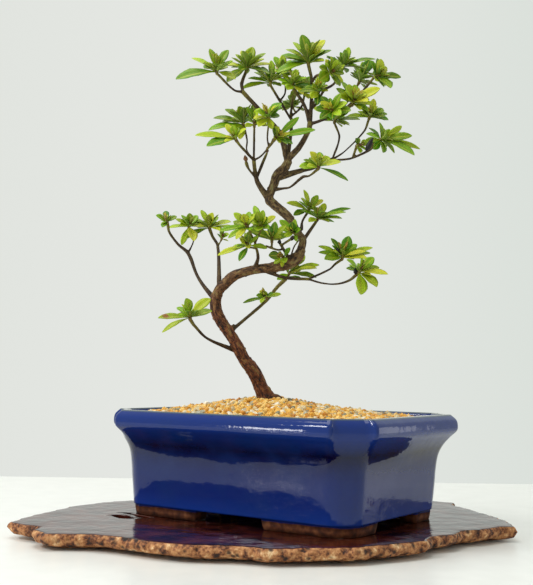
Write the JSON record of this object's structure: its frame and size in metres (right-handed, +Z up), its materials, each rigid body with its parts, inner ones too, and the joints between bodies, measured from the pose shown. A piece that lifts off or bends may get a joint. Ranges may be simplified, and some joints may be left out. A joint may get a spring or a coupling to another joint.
{
  "type": "bonsai",
  "caption": "Small-leaved satsuki azalea bonsai with an angled trunk and open layered foliage, in a blue-glazed rectangular pot with cut corners, standing on a lacquered live-edge burl slab",
  "frame": {"origin": "on the floor plane, on the underside of the display slab, under the middle of the pot", "axes": "Z up; X along the pot's length, Y along its width with -Y the pot's front; the tree's best side is seen from azimuth 35 degrees"},
  "size_m": [0.2762, 0.2922, 0.3375],
  "materials": {
    "glazed_stoneware": "glossy cobalt-blue glaze, unglazed red-brown clay feet",
    "lacquered_burl": "gloss lacquer, rough natural edge",
    "bark": "rough bark",
    "leaf": "satin leaf, paler underneath",
    "gravel": "dull pebbles, amber, cream and grey-green",
    "soil": "dull crumbs",
    "drain_mesh": "matte",
    "clip_wire": "brown anodised wire"
  },
  "bodies": {
    "root": {"display_slab": "lacquered_burl", "drain_mesh_left": "drain_mesh", "drain_mesh_right": "drain_mesh", "gravel": "gravel", "leaves_apex": "leaf", "leaves_apex_right": "leaf", "leaves_elbow_up": "leaf", "leaves_front_left": "leaf", "leaves_front_spur": "leaf", "leaves_front_up": "leaf", "leaves_left": "leaf", "leaves_left_back": "leaf", "leaves_left_back_spur": "leaf", "leaves_left_high_back": "leaf", "leaves_left_high_front": "leaf", "leaves_left_high_low": "leaf", "leaves_left_high_mid": "leaf", "leaves_left_high_right": "leaf", "leaves_left_inner": "leaf", "leaves_low_left": "leaf", "leaves_low_right": "leaf", "leaves_low_right_side": "leaf", "leaves_right_back": "leaf", "leaves_right_long_back": "leaf", "leaves_right_long_end": "leaf", "leaves_right_long_spur": "leaf", "leaves_right_long_up": "leaf", "leaves_right_low": "leaf", "leaves_right_thin": "leaf", "leaves_sweep_down": "leaf", "leaves_sweep_up": "leaf", "leaves_top_left_far": "leaf", "leaves_top_left_up": "leaf", "leaves_top_mid_back": "leaf", "leaves_top_mid_left": "leaf", "leaves_top_mid_low": "leaf", "leaves_top_mid_up": "leaf", "leaves_top_right_back": "leaf", "leaves_top_right_far": "leaf", "leaves_top_right_left": "leaf", "leaves_top_right_out": "leaf", "leaves_top_right_out_mid": "leaf", "leaves_top_right_spur": "leaf", "leaves_top_right_up": "leaf", "leaves_trunk_high": "leaf", "leaves_trunk_low": "leaf", "mesh_clip_left": "clip_wire", "mesh_clip_right": "clip_wire", "pot": "glazed_stoneware", "soil": "soil", "trunk_and_branches": "bark"}
  },
  "joints": []
}
